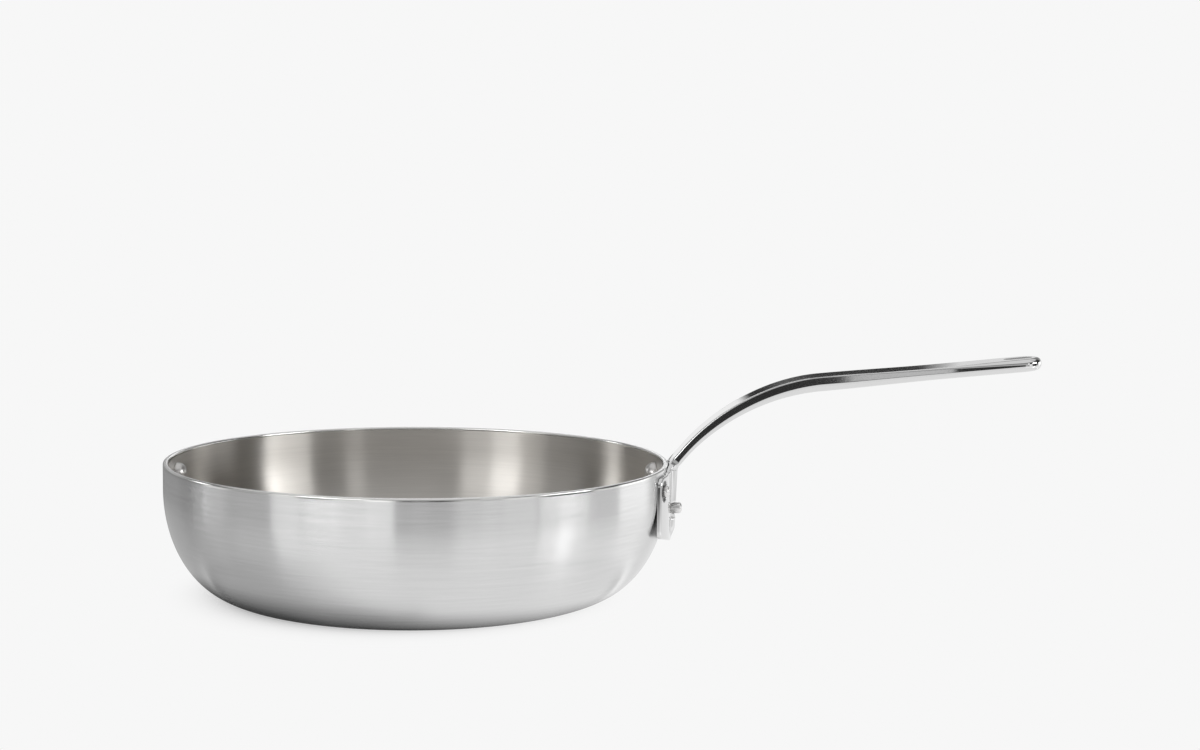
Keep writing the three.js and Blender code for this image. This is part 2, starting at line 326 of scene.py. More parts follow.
def body_ply(name, depth, thickness):
    """One ply of the body, with its share of the rounded rim, drilled for the rivets."""
    lip = []
    for i in range(1, LIP_STEPS):
        inside = depth + thickness * (1 - math.cos(math.pi * i / LIP_STEPS)) / 2
        lip.append((PAN_RADIUS - inside, PAN_HEIGHT - lip_drop(inside)))
    profile = wall_line(depth) + lip + wall_line(depth + thickness)[::-1]
    ply = turned(name, profile, BODY_SIDES)
    cut(ply, [hole_cutter(HOLE_RADIUS, BASE_RADIUS, FOOT_RADIUS, place) for place in RIVETS])
    return ply


# Handle: its middle line runs up the foot, over the arch and out along the grip


neck_root = Vector((FOOT_RADIUS + NECK_THICKNESS / 2, FOOT_TOP))
grip_way = Vector((math.cos(GRIP_SLOPE), math.sin(GRIP_SLOPE)))
grip_root = Vector((PAN_RADIUS + GRIP_START, PAN_HEIGHT + GRIP_RISE))
grip_length = (HANDLE_REACH - GRIP_START) / grip_way.x
arch = [neck_root, neck_root + Vector((0, NECK_PULL)), grip_root - grip_way * CROWN_PULL, grip_root]


def arch_point(t):
    a, b, c, d = arch
    s = 1 - t
    return a * s**3 + b * (3 * s * s * t) + c * (3 * s * t * t) + d * t**3


def arch_way(t):
    a, b, c, d = arch
    s = 1 - t
    return ((b - a) * (s * s) + (c - b) * (2 * s * t) + (d - c) * (t * t)).normalized()


arch_shares = [i / ARCH_FINE for i in range(ARCH_FINE + 1)]
arch_lengths = [0.0]
for share, following in zip(arch_shares, arch_shares[1:]):
    arch_lengths.append(arch_lengths[-1] + (arch_point(following) - arch_point(share)).length)
GRIP_AT = FOOT_HEIGHT + arch_lengths[-1]
HANDLE_LENGTH = GRIP_AT + grip_length
TIP_AT = HANDLE_LENGTH - END_RADIUS
MID_ARCH = (FOOT_HEIGHT + GRIP_AT) / 2
WAIST_AT = mix(GRIP_AT, TIP_AT, WAIST_SHARE)
EYE_AT = grip_length - EYE_MARGIN - EYE_LENGTH / 2
EYE_STRAIGHT = (EYE_LENGTH - EYE_WIDTH) / 2


def spine(along):
    """The middle line at a length from the toe: the place of the middle, and the way it runs."""
    if along <= FOOT_HEIGHT:
        return Vector((neck_root.x, FOOT_BOTTOM + along)), Vector((0, 1))
    if along < GRIP_AT:
        t = float(np.interp(along - FOOT_HEIGHT, arch_lengths, arch_shares))
        return arch_point(t), arch_way(t)
    return grip_root + grip_way * (along - GRIP_AT), grip_way


def bar_growth(along):
    t = np.interp(along - FOOT_HEIGHT, arch_lengths, arch_shares)
    return smoothstep(t, 0.0, 1.0)


def bar_half_width(along):
    waist = mix(NECK_WIDTH, GRIP_WIDTH, smoothstep(along, MID_ARCH, WAIST_AT))
    return mix(waist, END_WIDTH, smoothstep(along, WAIST_AT, TIP_AT)) / 2


def bar_thickness(along):
    if along < GRIP_AT:
        return mix(NECK_THICKNESS, GRIP_THICKNESS, bar_growth(along))
    waist = mix(GRIP_THICKNESS, WAIST_THICKNESS, smoothstep(along, GRIP_AT, WAIST_AT))
    return mix(waist, END_THICKNESS, smoothstep(along, WAIST_AT, TIP_AT))


def bar_edge(along, radii):
    """The round of the bar's edges, from radii at the neck, mid arch, start of the grip, waist and tip."""
    return float(np.interp(along, [FOOT_HEIGHT, MID_ARCH, GRIP_AT, WAIST_AT, TIP_AT], radii))


def rounded(before, corner, after, radius):
    """The points of an arc that rounds off one corner of an outline."""
    into = (corner - before).normalized()
    out = (after - corner).normalized()
    turn = into.angle(out)
    side = (out - into * into.dot(out)).normalized()
    centre = corner - into * radius * math.tan(turn / 2) + side * radius
    arc = []
    for i in range(CORNER_STEPS + 1):
        part = turn * i / CORNER_STEPS
        arc.append(centre + (into * math.sin(part) - side * math.cos(part)) * radius)
    return arc


def tip_reach(turn):
    return TIP_AT + END_RADIUS * math.sin(turn) / math.sin(TIP_TURN)


def handle_outline():
    """Half of the handle's outline laid flat, toe to tip: distance from the middle, and length."""
    half = FOOT_WIDTH / 2
    toe = Vector((half - TOE_RUN, 0))
    toe_corner = Vector((half, TOE_RISE))
    foot_corner = Vector((half, LEDGE))
    neck_corner = Vector((bar_half_width(NECK_END), FOOT_HEIGHT))
    neck_end = Vector((bar_half_width(NECK_END), NECK_END))
    outline = [Vector((0, 0)), toe]
    outline += rounded(toe, toe_corner, foot_corner, TOE_CORNER)
    outline += rounded(toe_corner, foot_corner, neck_corner, FOOT_CORNER)
    outline += rounded(foot_corner, neck_corner, neck_end, NECK_FILLET)
    for along in spread(NECK_END, TIP_AT, GRIP_ROWS)[1:]:
        outline.append(Vector((bar_half_width(along), along)))
    for i in range(TIP_ROWS + 1):
        turn = TIP_TURN * i / TIP_ROWS
        outline.append(Vector((END_RADIUS * math.cos(turn), tip_reach(turn))))
    outline.append(Vector((0, HANDLE_LENGTH)))
    return np.array(outline)


def distance_inside(outline, sides, along):
    """How far points of one row lie inside the outline."""
    points = np.stack([np.abs(sides), np.full(len(sides), along)], axis=1)
    start, run = outline[:-1], np.diff(outline, axis=0)
    share = np.einsum("pik,ik->pi", points[:, None, :] - start[None], run)
    share = np.clip(share / np.maximum(np.einsum("ik,ik->i", run, run), SMALLEST_RUN), 0.0, 1.0)
    nearest = start[None] + share[:, :, None] * run[None]
    return np.sqrt(((points[:, None, :] - nearest) ** 2).sum(axis=2)).min(axis=1)


def handle_rows():
    """Lengths from the toe at which the handle's skin has a row of points."""
    rows = eased(0.0, TOE_RISE, ROUND_ROWS)
    rows += spread(TOE_RISE, LEDGE - FOOT_CORNER, FOOT_ROWS)
    rows += eased(LEDGE - FOOT_CORNER, LEDGE, ROUND_ROWS)
    rows += spread(LEDGE, FOOT_HEIGHT, LEDGE_ROWS)
    rows += [mix(FOOT_HEIGHT, NECK_END, share**NECK_CROWDING) for share in spread(0.0, 1.0, ROUND_ROWS)]
    rows += spread(NECK_END, GRIP_AT, ARCH_ROWS)
    rows += spread(GRIP_AT, TIP_AT, GRIP_ROWS)
    rows += [tip_reach(TIP_TURN * i / TIP_ROWS) for i in range(TIP_ROWS + 1)]
    return rows


def handle_columns(half, edge):
    """Distances from the middle across one row, side to side, fine where the edges round off."""
    edge = min(edge, half / 2)
    flat = half - edge
    rounds = [flat + edge * math.sin(QUARTER * i / EDGE_COLUMNS) for i in range(EDGE_COLUMNS + 1)]
    middle = [flat * i / MIDDLE_COLUMNS for i in range(MIDDLE_COLUMNS - 1, -MIDDLE_COLUMNS, -1)]
    return np.array(rounds[::-1] + middle + [-r for r in rounds])


def edge_drop(inside, radius):
    return radius - np.sqrt(np.maximum(radius**2 - np.maximum(0.0, radius - inside) ** 2, 0.0))


def rivet_recess(sides, along):
    """How deep the round recesses for the upper rivets lie under the foot's face."""
    arc = FOOT_RADIUS * np.arcsin(np.abs(sides) / FOOT_RADIUS)
    away = np.hypot(arc - FOOT_RADIUS * UPPER_RIVET_ANGLE, FOOT_BOTTOM + along - UPPER_RIVET_Z)
    return RECESS_DEPTH * (1 - smoothstep(away, RECESS_RADIUS - RECESS_WALL, RECESS_RADIUS))


def top_thinning(along):
    """How far the top of the neck lies below the bar's full thickness."""
    grown = smoothstep(along, FOOT_HEIGHT, FOOT_HEIGHT + 2 * NECK_FILLET)
    return NECK_THINNING * grown * (1 - smoothstep(along, MID_ARCH, GRIP_AT))


def handle_row(outline, along):
    """The under and the top face of the handle along one row across it."""
    in_foot = along < FOOT_HEIGHT
    footed = 1 - smoothstep(along, LEDGE, NECK_END)
    wrap = 1 - smoothstep(along, FOOT_HEIGHT, FOOT_HEIGHT + 2 * NECK_FILLET)
    bar = bar_thickness(max(along, FOOT_HEIGHT))
    wing = mix(bar, WING_THICKNESS, footed)
    rib = rib_thickness(along) if in_foot else bar
    top_edge = mix(bar_edge(along, TOP_EDGES), WING_BACK_EDGE, footed)
    under_edge = mix(bar_edge(along, UNDER_EDGES), WING_EDGE, footed)
    half = float(np.interp(along, outline[1:-1, 1], outline[1:-1, 0]))
    sides = handle_columns(half, max(top_edge, under_edge))
    inside = distance_inside(outline, sides, along)
    crown = smoothstep(along, FOOT_HEIGHT, GRIP_AT) * (1 - (sides / half) ** 2)
    slot = 1 - smoothstep(abs(along - LOWER_RIVET_EDGE), SLOT_HALF - SLOT_WALL, SLOT_HALF)
    under = mix(mix(rib, wing, slot), wing, smoothstep(np.abs(sides), RIB_CREST_WIDTH / 2, RIB_WIDTH / 2))
    under = under + UNDER_CROWN * crown - edge_drop(inside, under_edge)
    top = top_thinning(along) + edge_drop(inside, top_edge)
    if in_foot:
        under = under - rivet_recess(sides, along)
    middle, way = spine(along)
    facing = Vector((way.y, -way.x))
    back = middle - facing * ((NECK_THICKNESS if in_foot else bar) / 2)
    sag = wrap * (FOOT_RADIUS - np.sqrt(FOOT_RADIUS**2 - sides**2))
    rows = []
    for depth in (under, top):
        out = depth - sag
        rows.append(np.stack([back.x + facing.x * out, sides, back.y + facing.y * out], axis=1))
    return rows


def handle_mesh():
    """The handle as one closed skin: an under face, a top face and a narrow side band all round."""
    outline = handle_outline()
    rows = [handle_row(outline, along) for along in handle_rows()]
    under = np.array([row[0] for row in rows])
    top = np.array([row[1] for row in rows])
    count, width = under.shape[:2]
    points = list(under.reshape(-1, 3)) + list(top.reshape(-1, 3))
    face = count * width
    faces = []
    for i in range(count - 1):
        for k in range(width - 1):
            a = i * width + k
            quad = (a, a + 1, a + width + 1, a + width)
            faces.append(quad[::-1])
            faces.append(tuple(face + q for q in quad))
    border = [(0, k) for k in range(width)] + [(i, width - 1) for i in range(1, count)]
    border += [(count - 1, k) for k in range(width - 2, -1, -1)] + [(i, 0) for i in range(count - 2, 0, -1)]
    bands = [[i * width + k for i, k in border]]
    for share in SIDE_BANDS:
        bands.append(range(len(points), len(points) + len(border)))
        points += [mix(under[i, k], top[i, k], share) for i, k in border]
    bands.append([face + i * width + k for i, k in border])
    for low, high in zip(bands, bands[1:]):
        for k in range(len(border)):
            n = (k + 1) % len(border)
            faces.append((low[n], high[n], high[k], low[k]))
    return new_piece("pan_handle", points, faces)


def eye_cutter():
    """A long plug through the end of the grip, flared at both faces so that the eye's edges are round."""
    middle = grip_root + grip_way * EYE_AT
    facing = Vector((-grip_way.y, grip_way.x))
    levels = [(-END_THICKNESS, EYE_MOUTH)]
    for i in range(EYE_STEPS + 1):
        turn = QUARTER * i / EYE_STEPS
        level = EYE_MOUTH * (1 - math.cos(turn)) - END_THICKNESS / 2
        levels.append((level, EYE_MOUTH * (1 - math.sin(turn))))
    levels += [(-level, flare) for level, flare in levels[::-1]]
    points = []
    for level, flare in levels:
        radius = EYE_WIDTH / 2 + flare
        for k in range(EYE_SIDES):
            turn = 2 * math.pi * (k + 0.5) / EYE_SIDES
            reach = radius * math.cos(turn) + math.copysign(EYE_STRAIGHT, math.cos(turn))
            place = middle + grip_way * reach + facing * level
            points.append((place.x, radius * math.sin(turn), place.y))
    last = (len(levels) - 1) * EYE_SIDES
    faces = [tuple(range(EYE_SIDES)), tuple(last + k for k in range(EYE_SIDES - 1, -1, -1))]
    for a in range(0, last, EYE_SIDES):
        for k in range(EYE_SIDES):
            n = (k + 1) % EYE_SIDES
            faces.append((a + k, a + EYE_SIDES + k, a + EYE_SIDES + n, a + n))
    return new_piece("eye_cutter", points, faces)


def in_recess(point):
    """Whether a point of the handle, in metres, lies in a recess for one of the upper rivets."""
    arc = FOOT_RADIUS * abs(math.atan2(point.y, point.x))
    away = math.hypot(arc - FOOT_RADIUS * UPPER_RIVET_ANGLE, point.z / MM - UPPER_RIVET_Z)
    return away < RECESS_RADIUS and point.z / MM < FOOT_TOP


def in_eye(point):
    """Whether a point of the handle, in metres, lies on the wall of the hanging eye."""
    along = (Vector((point.x, point.z)) / MM - grip_root).dot(grip_way)
    away = math.hypot(max(0.0, abs(along - EYE_AT) - EYE_STRAIGHT), point.y / MM)
    return away < (EYE_WIDTH + EYE_MOUTH) / 2


def behind_foot(point):
    """Whether a point of the handle, in metres, lies on the back of its foot, against the wall."""
    return point.z / MM < FOOT_TOP and math.hypot(point.x, point.y) / MM < FOOT_RADIUS + WING_BACK_EDGE


def cast_handle():
    handle = handle_mesh()
    through = FOOT_RADIUS + NECK_THICKNESS + OUTER_HEAD_HEIGHT
    holes = [hole_cutter(HOLE_RADIUS, BASE_RADIUS, through, place) for place in FOOT_RIVETS]
    cut(handle, [eye_cutter(), *holes])
    return handle


# Rivets


def rivet(place):
    """A solid rivet: a wide domed head inside the pan, a shank, and a small round-edged head outside."""
    seat = wall_radius(place["z"], WALL) - DOME_CLEARANCE
    brim = seat + DOME_RIM
    outer = place["face"] + HEAD_CLEARANCE
    profile = []
    for i in range(DOME_STEPS + 1):
        turn = QUARTER * i / DOME_STEPS
        profile.append((INNER_HEAD_RADIUS * math.sin(turn), seat - INNER_HEAD_HEIGHT * math.cos(turn)))
    profile += [(INNER_HEAD_RADIUS, brim), (SHANK_RADIUS, brim), (SHANK_RADIUS, outer)]
    profile += [(OUTER_HEAD_RADIUS - HEAD_CHAMFER, outer), (OUTER_HEAD_RADIUS, outer + HEAD_CHAMFER)]
    for i in range(HEAD_STEPS + 1):
        turn = QUARTER * i / HEAD_STEPS
        radius = OUTER_HEAD_RADIUS - HEAD_EDGE * (1 - math.cos(turn))
        profile.append((radius, outer + place["head"] - HEAD_EDGE * (1 - math.sin(turn))))
    profile.append((0.0, outer + place["head"] + OUTER_HEAD_CROWN))
    piece = turned("pan_" + place["node"], profile, RIVET_SIDES)
    point_outward(piece, place["azimuth"], place["z"])
    piece.data.set_sharp_from_angle(angle=CRISP_HEAD)
    return piece


# Finishes of brushed steel: colour, roughness, lines per metre, and how strongly the lines stand out
BRUSHED = {
    "outer_steel": ((0.635, 0.635, 0.635), 0.22, 2200.0, 0.25),
    "inner_steel": ((0.6, 0.58, 0.55), 0.33, 2000.0, 0.1),
}

# Finishes of plain metal: colour, roughness, and how strongly the polishing scratches stand out
PLAIN = {
    "core_aluminium": ((0.8, 0.8, 0.8), 0.26, 0.1),
    "lip_steel": ((0.7, 0.7, 0.69), 0.14, 0.05),
    "polished_steel": ((0.66, 0.66, 0.66), 0.045, 0.05),
    # Near-black steel for the recesses round the upper rivets: painted shade in those hollows
    "recess_painted_shade": ((0.13, 0.13, 0.13), 0.4, 0.1),
    # Dark dull steel for the back of the foot and the eye's wall: painted shade in the gap against the
    # pan's wall and inside the eye
    "gap_painted_shade": ((0.33, 0.33, 0.33), 0.4, 0.1),
    "rivet_steel": ((0.54, 0.53, 0.52), 0.33, 0.1),
    "head_steel": ((0.7, 0.695, 0.69), 0.4, 0.1),
}

# Marks on the metal
NOISE_MIDDLE = 0.5
LINE_DETAIL = 3.0
STREAK_SCALE = 0.8
WIDE_SCALE = 0.3
WIDE_DETAIL = 2.0
BRUSH_DEPTH = 0.02
BRUSH_SPREAD = 1.0
BRUSH_TURN = 0.25
CLOUD_DETAIL = 4.0
CLOUD_SWIRL = 0.6
PLAIN_PATCHES = 40.0
HAIR_TURN = (0.3, 0.9, 0.5)
HAIR_STRETCH = (1, 14, 9)
HAIR_DETAIL = 2.0
HAIR_TOP = 0.85
HAIR_GAIN = 2.0
HAIR_DEPTH = 0.01
HAIR_ROUGHNESS = 0.05


class Nodes:
    """A short way to place shader nodes in a tree."""

    def __init__(self, tree):
        self.tree = tree

    def add(self, kind, inputs=(), **settings):
        node = self.tree.nodes.new(kind)
        for name, value in settings.items():
            setattr(node, name, value)
        for socket, value in dict(inputs).items():
            self.feed(value, node.inputs[socket])
        return node

    def feed(self, value, socket):
        if isinstance(value, bpy.types.NodeSocket):
            self.tree.links.new(value, socket)
        else:
            socket.default_value = value

    def math(self, operation, *values):
        return self.add("ShaderNodeMath", enumerate(values), operation=operation).outputs[0]

    def total(self, start, *shifts):
        for shift in shifts:
            start = self.math("ADD", shift, start)
        return start

    def ramp(self, value, low, high, out_low, out_high):
        inputs = {"Value": value, "From Min": low, "From Max": high, "To Min": out_low, "To Max": out_high}
        return self.add("ShaderNodeMapRange", inputs).outputs["Result"]

    def noise(self, place, scale, detail, distortion=0.0):
        inputs = {"Vector": place, "Scale": scale, "Detail": detail, "Distortion": distortion}
        return self.add("ShaderNodeTexNoise", inputs).outputs["Fac"]

    def place(self):
        return self.add("ShaderNodeTexCoord").outputs["Object"]


def effect_group(name, inputs, outputs):
    """A new node group with plain number sockets: its nodes, its given values, and its outputs."""
    tree = bpy.data.node_groups.new(name, "ShaderNodeTree")
    for socket, value in inputs.items():
        made = tree.interface.new_socket(socket, in_out="INPUT", socket_type="NodeSocketFloat")
        made.default_value = value
    for socket in outputs:
        tree.interface.new_socket(socket, in_out="OUTPUT", socket_type="NodeSocketFloat")
    nodes = Nodes(tree)
    return nodes, nodes.add("NodeGroupInput").outputs, nodes.add("NodeGroupOutput").inputs


def brush_lines_group():
    """Fine lines that run round the pan's axis: their height, and how light and how rough each one is."""
    inputs = {
        "Lines per Metre": 2200.0,
        "Breaks per Metre": 60.0,
        "Shade Depth": 0.24,
        "Rough Depth": 0.1,
    }
    nodes, given, out = effect_group("brush_lines", inputs, ["Height", "Shade", "Rough"])
    split = nodes.add("ShaderNodeSeparateXYZ", {0: nodes.place()}).outputs
    flat = nodes.add("ShaderNodeCombineXYZ", {0: split[0], 1: split[1]}).outputs[0]
    radius = nodes.add("ShaderNodeVectorMath", {0: flat}, operation="LENGTH").outputs["Value"]
    across = nodes.math("MULTIPLY", nodes.math("ADD", radius, split[2]), given["Lines per Metre"])
    x = nodes.math("MULTIPLY", split[0], given["Breaks per Metre"])
    y = nodes.math("MULTIPLY", split[1], given["Breaks per Metre"])
    lines = nodes.add("ShaderNodeCombineXYZ", {0: x, 1: y, 2: across}).outputs[0]
    fine = nodes.noise(lines, 1.0, LINE_DETAIL)
    streak = nodes.noise(lines, STREAK_SCALE, LINE_DETAIL)
    wide = nodes.noise(lines, WIDE_SCALE, WIDE_DETAIL)
    mean = nodes.math("MULTIPLY", nodes.total(streak, wide), 0.5)
    centred = nodes.math("SUBTRACT", mean, NOISE_MIDDLE)
    nodes.feed(fine, out["Height"])
    nodes.feed(nodes.math("MULTIPLY", centred, given["Shade Depth"]), out["Shade"])
    nodes.feed(nodes.math("MULTIPLY", centred, given["Rough Depth"]), out["Rough"])
    return nodes.tree


def handling_group():
    """Soft patches where the metal was wiped and held: how light and how rough each place is."""
    inputs = {"Patches per Metre": 14.0, "Shade Depth": 0.03, "Rough Depth": 0.05}
    nodes, given, out = effect_group("handling", inputs, ["Shade", "Rough"])
    cloud = nodes.noise(nodes.place(), given["Patches per Metre"], CLOUD_DETAIL, CLOUD_SWIRL)
    centred = nodes.math("SUBTRACT", cloud, NOISE_MIDDLE)
    nodes.feed(nodes.math("MULTIPLY", centred, given["Shade Depth"]), out["Shade"])
    nodes.feed(nodes.math("MULTIPLY", centred, given["Rough Depth"]), out["Rough"])
    return nodes.tree


def hairlines_group():
    """Sparse short polishing scratches: their height, and a mask of where they lie."""
    inputs = {"Lines per Metre": 900.0, "Share": 0.35}
    nodes, given, out = effect_group("hairlines", inputs, ["Height", "Mask"])
    drawn = {"Vector": nodes.place(), "Rotation": HAIR_TURN, "Scale": HAIR_STRETCH}
    stretched = nodes.add("ShaderNodeMapping", drawn).outputs[0]
    hairs = nodes.noise(stretched, given["Lines per Metre"], HAIR_DETAIL)
    above = nodes.math("SUBTRACT", hairs, nodes.math("SUBTRACT", HAIR_TOP, given["Share"]))
    mask = nodes.add("ShaderNodeClamp", {"Value": nodes.math("MULTIPLY", above, HAIR_GAIN)}).outputs[0]
    nodes.feed(nodes.math("MULTIPLY", mask, -1.0), out["Height"])
    nodes.feed(mask, out["Mask"])
    return nodes.tree


BRUSH_LINES = brush_lines_group()
HANDLING = handling_group()
HAIRLINES = hairlines_group()


def tinted(nodes, colour, *shades):
    """A base colour made lighter and darker by the sum of some small shades."""
    scaled = {"Vector": colour, "Scale": nodes.total(1.0, *shades)}
    return nodes.add("ShaderNodeVectorMath", scaled, operation="SCALE").outputs["Vector"]


def new_material(name):
    material = bpy.data.materials.new(name)
    material.use_nodes = True
    tree = material.node_tree
    return material, Nodes(tree), tree.nodes["Principled BSDF"].inputs


def placed(nodes, effect, values=()):
    """An effect's outputs, with some of its inputs set."""
    node = nodes.add("ShaderNodeGroup", node_tree=effect)
    for name, value in dict(values).items():
        node.inputs[name].default_value = value
    return node.outputs


def raised(nodes, height, strength, depth):
    bump = {"Height": height, "Strength": strength, "Distance": depth}
    return nodes.add("ShaderNodeBump", bump).outputs[0]


def brushed_steel(name, colour, roughness, lines_per_metre, bump):
    """Satin steel brushed round the axis: its gloss spreads up and down, across the lines."""
    material, nodes, steel = new_material(name)
    lines = placed(nodes, BRUSH_LINES, {"Lines per Metre": lines_per_metre})
    held = placed(nodes, HANDLING)
    nodes.feed(tinted(nodes, colour, lines["Shade"], held["Shade"]), steel["Base Color"])
    nodes.feed(nodes.total(roughness, lines["Rough"], held["Rough"]), steel["Roughness"])
    nodes.feed(raised(nodes, lines["Height"], bump, BRUSH_DEPTH * MM), steel["Normal"])
    tangent = nodes.add("ShaderNodeTangent", direction_type="RADIAL", axis="Z")
    nodes.feed(tangent.outputs[0], steel["Tangent"])
    steel["Metallic"].default_value = 1.0
    steel["Anisotropic"].default_value = BRUSH_SPREAD
    steel["Anisotropic Rotation"].default_value = BRUSH_TURN
    return material


def plain_metal(name, colour, roughness, bump):
    """Bright or dull metal with the marks of polishing and of hands."""
    material, nodes, metal = new_material(name)
    hairs = placed(nodes, HAIRLINES)
    held = placed(nodes, HANDLING, {"Patches per Metre": PLAIN_PATCHES})
    worn = nodes.math("MULTIPLY", hairs["Mask"], HAIR_ROUGHNESS)
    nodes.feed(tinted(nodes, colour, held["Shade"]), metal["Base Color"])
    nodes.feed(nodes.total(roughness, worn, held["Rough"]), metal["Roughness"])
    nodes.feed(raised(nodes, hairs["Height"], bump, HAIR_DEPTH * MM), metal["Normal"])
    metal["Metallic"].default_value = 1.0
    return material


FINISHES = {name: brushed_steel(name, *look) for name, look in BRUSHED.items()}
FINISHES.update({name: plain_metal(name, *look) for name, look in PLAIN.items()})


# The pan


def finish_piece(piece, node, finish):
    """Gives a piece its finish and puts it in the place of one of the CAD's nodes."""
    piece.data.materials.clear()
    piece.data.materials.append(FINISHES[finish])
    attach(piece, "root")
    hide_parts(node)


def at_lip(point):
    return point.z > (PAN_HEIGHT - LIP_POLISH) * MM


def outside(point):
    return math.hypot(point.x, point.y) > PAN_RADIUS * MM


def refinish(piece, finish, *choices):
    """Gives the faces whose middle is chosen a finish of their own."""
    piece.data.materials.append(FINISHES[finish])
    for face in piece.data.polygons:
        if any(chosen(face.center) for chosen in choices):
            face.material_index = len(piece.data.materials) - 1


def make_pan():
    core_start = OUTER_PLY + BOND_LINE
    lining_start = core_start + CORE_PLY + BOND_LINE
    outer = body_ply("pan_outer_skin", 0.0, OUTER_PLY)
    core = body_ply("pan_core", core_start, CORE_PLY)
    lining = body_ply("pan_lining", lining_start, INNER_PLY)
    finish_piece(outer, "outer_skin", "outer_steel")
    finish_piece(core, "aluminium_core", "core_aluminium")
    finish_piece(lining, "inner_skin", "inner_steel")
    refinish(outer, "lip_steel", at_lip)
    refinish(lining, "lip_steel", at_lip)
    handle = cast_handle()
    finish_piece(handle, "handle", "polished_steel")
    # Painted shade: the recesses round the upper rivets are given near-black steel
    refinish(handle, "recess_painted_shade", in_recess)
    # Painted shade: the back of the foot and the wall of the eye are given dark dull steel
    refinish(handle, "gap_painted_shade", in_eye, behind_foot)
    for place in RIVETS:
        piece = rivet(place)
        finish_piece(piece, place["node"], "rivet_steel")
        refinish(piece, "head_steel", outside)


# Studio

BACKDROP = 0.93
ROOM_LEVEL = 0.04

# What the metal mirrors round the pan: upright columns of the room, from the back and round by the left.
# Each has its left edge in degrees of azimuth, from the camera and to the right, how far that edge blurs,
# and its levels on the floor, low down, at middle height and high up
COLUMNS = [
    ("back", -180, 0, (0.8, 0.8, 0.95, 1.4)),
    ("back_left", -176, 1, (0.5, 0.25, 0.3, 0.5)),
    ("left_end", -131, 4, (0.45, 0.22, 0.2, 0.35)),
    ("left_sliver", -118, 3, (0.5, 0.28, 0.0, 5.0)),
    ("left_strip", -108.5, 3, (0.6, 0.85, 0.75, 0.0)),
    ("left_gap", -92, 8, (0.72, 0.38, 0.5, 0.6)),
    ("left_bank_end", -67, 0.8, (1.15, 0.85, 0.95, 1.6)),
    ("left_bank_core", -53, 1, (1.08, 0.15, 0.0, 6.6)),
    ("left_bank_wing", -38, 1, (1.05, 0.75, 0.6, 3.2)),
    ("left_bank_near", -22, 2, (1.05, 1.3, 1.35, 0.35)),
    ("camera_side", -10.5, 1.5, (0.92, 0.0, 0.5, 0.5)),
    ("right_near", 16, 6, (1.1, 0.6, 0.5, 0.5)),
    ("right_wing", 28, 1, (1.1, 0.5, 0.5, 1.75)),
    ("right_wall", 37, 2, (1.05, 0.9, 1.0, 0.0)),
    ("bank_stand", 52.5, 1, (1.0, 0.6, 0.5, 0.0)),
    ("right_bank", 56.5, 1, (1.35, 0.0, 0.0, 5.6)),
    ("right_bank_core", 66, 2, (1.8, 0.0, 0.0, 5.9)),
    ("right_bank_far", 75, 2, (1.1, 0.0, 0.0, 8.2)),
    ("right_gap", 83, 2, (1.05, 0.85, 0.2, 0.0)),
    ("right_strip", 100.7, 2, (1.1, 1.5, 2.0, 0.0)),
    ("right_end", 127, 8, (0.95, 0.55, 0.7, 0.5)),
    ("right_back", 139, 4, (0.9, 0.9, 0.75, 0.3)),
    ("dark_flag", 164.6, 1, (0.9, 0.9, 0.0, 1.4)),
    ("back", 176.4, 1, (0.8, 0.8, 0.95, 1.4)),
]
# Where those four levels lie: edges in degrees of elevation, and how far they blur
HEIGHTS = [(-30, -10, 1.5), (-10, -2, 1.5), (-2, 8, 0.6), (8, 22, 1)]

# Wider or smaller stretches that add to the columns: edges in azimuth and in elevation, level, and how far
# the upright and the level edges blur. A stretch with a level below zero takes light away
BANKS = [
    ("near_floor_left", -180, -66, -90, -30, 0.5, 50, 10),
    ("near_floor_right", -66, 180, -90, -30, 1.0, 50, 10),
    ("upper_room", -180, 180, 22, 40, 0.2, 6, 2),
    ("overhead", -180, 180, 40, 90, 0.85, 6, 6),
    ("grey_card", -3.2, 4.1, -6.1, -4.6, 0.67, 0.3, 0.3),
    ("foot_card", -48, -34, -10.5, -8.2, 0.6, 2, 0.6),
    ("strip_flag", 100.7, 125.5, -11.0, -8.0, -0.35, 2, 0.5),
    ("gap_flag", 83, 120, 22, 62, -0.2, 4, 2),
]

# Paper floor, and the lamp that throws the pan's soft shadow on it
FLOOR_RADIUS = 1900.0
FLOOR_SINK = 0.3
FLOOR_SIDES = 96
FLOOR_ALBEDO = 0.75
KEY_LEVEL = 0.55
KEY_AZIMUTH = math.radians(105)
KEY_ELEVATION = math.radians(64)
KEY_SPREAD = math.radians(50)
# Painted shade under the pan, seen only in the metal: how much it glows, how far out from the base it is
# dark, and where it has faded
UNDER_PAN_PAINTED_SHADE = 0.05
PAINTED_SHADE_MARGIN = 8.0
PAINTED_SHADE_FADE = 30.0
SHADE_SHIFT = -10.0
SHADE_FULL = 95.0
SHADE_END = 137.0
SHADE_FALL = 3.0
GRAINS_PER_METRE = 900.0
GRAIN_DETAIL = 2.0
GRAIN_DEPTH = 0.02


